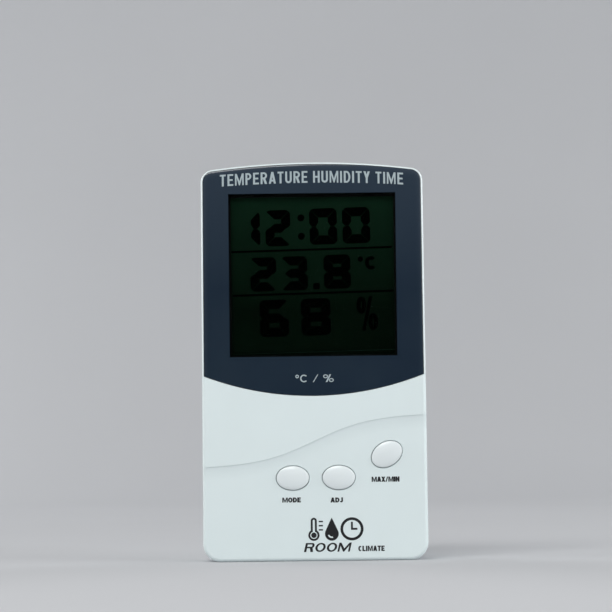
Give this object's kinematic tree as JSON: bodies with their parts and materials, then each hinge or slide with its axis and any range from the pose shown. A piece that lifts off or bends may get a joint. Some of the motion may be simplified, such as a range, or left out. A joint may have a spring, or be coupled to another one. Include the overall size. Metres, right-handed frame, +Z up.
{
  "type": "maximum minimum thermometer",
  "caption": "Upright digital room thermometer with humidity and clock: white case, dark display lens, oval push buttons, fold-out stand and keyhole hanger.",
  "frame": {"origin": "middle of the footprint of the case, on the surface it stands on", "axes": "+Z up, +X to the right as seen from the front, the display and buttons face -Y"},
  "size_m": [0.0704, 0.024, 0.125],
  "materials": {
    "white_abs": "fine moulded texture, slightly cool white, satin",
    "button_white": "smooth white, glossier than the case",
    "slate_lens": "high gloss, slate paint behind clear plastic",
    "lcd_glass": "polished, very dark green with near-black segments",
    "reflector_film": "silvery satin film",
    "grey_plastic": "plain light grey moulding",
    "zebra_rubber": "fine dark and light stripes across the strip",
    "board_green": "green solder mask with tinned pads",
    "black_epoxy": "poured black epoxy, half gloss",
    "tinned_steel": "bright tinned steel",
    "dark_plastic": "black moulding",
    "buzzer_brass": "brass disc with a silvered ceramic centre",
    "battery_wrap": "printed shrink sleeve, dark green and silver, no marks",
    "red_insulation": "red wire insulation",
    "black_insulation": "black wire insulation"
  },
  "bodies": {
    "case": {"front_shell": "white_abs", "back_shell": "white_abs", "display_lens": "slate_lens", "lcd_panel": "lcd_glass", "lcd_reflector": "reflector_film", "lcd_frame": "grey_plastic", "zebra_strip_lower": "zebra_rubber", "zebra_strip_upper": "zebra_rubber", "main_board": "board_green", "controller_blob": "black_epoxy", "thermistor": "black_epoxy", "quartz_crystal": "tinned_steel", "capacitor": "dark_plastic", "humidity_sensor": "grey_plastic", "buzzer_disc": "buzzer_brass", "buzzer_spring": "tinned_steel", "battery_cell": "battery_wrap", "battery_spring": "tinned_steel", "battery_contact_negative": "tinned_steel", "battery_contact_positive": "tinned_steel", "battery_wire_red": "red_insulation", "battery_wire_black": "black_insulation", "switch_base_mode": "dark_plastic", "switch_base_adjust": "dark_plastic", "switch_base_max_min": "dark_plastic", "switch_base_unit": "dark_plastic", "case_screw_foot_left": "tinned_steel", "board_screw_foot_left": "tinned_steel", "case_screw_foot_right": "tinned_steel", "board_screw_foot_right": "tinned_steel", "case_screw_middle_left": "tinned_steel", "board_screw_middle_left": "tinned_steel", "case_screw_middle_right": "tinned_steel", "board_screw_middle_right": "tinned_steel"},
    "mode_key": {"mode_button": "button_white", "switch_plunger_mode": "grey_plastic"},
    "adjust_key": {"adjust_button": "button_white", "switch_plunger_adjust": "grey_plastic"},
    "max_min_key": {"max_min_button": "button_white", "switch_plunger_max_min": "grey_plastic"},
    "unit_key": {"unit_button": "button_white", "switch_plunger_unit": "grey_plastic"},
    "battery_cover": {"battery_door": "white_abs"},
    "stand": {"stand": "white_abs"}
  },
  "joints": [
    {"name": "mode_press", "type": "slide", "parent": "case", "child": "mode_key", "axis": [0, 1, 0], "range_m": [0, 0.0005], "stiffness_N_per_m": 3000},
    {"name": "adjust_press", "type": "slide", "parent": "case", "child": "adjust_key", "axis": [0, 1, 0], "range_m": [0, 0.0005], "stiffness_N_per_m": 3000},
    {"name": "max_min_press", "type": "slide", "parent": "case", "child": "max_min_key", "axis": [0, 1, 0], "range_m": [0, 0.0005], "stiffness_N_per_m": 3000},
    {"name": "unit_press", "type": "slide", "parent": "case", "child": "unit_key", "axis": [0, -1, 0], "range_m": [0, 0.0005], "stiffness_N_per_m": 3000},
    {"name": "battery_cover_lift", "type": "slide", "parent": "case", "child": "battery_cover", "axis": [0, 1, 0], "range_m": [0, 0.02]},
    {"name": "stand_hinge", "type": "hinge", "parent": "case", "child": "stand", "pos_m": [0, 0.0101, 0.053], "axis": [1, 0, 0], "range_deg": [0, 30]}
  ]
}
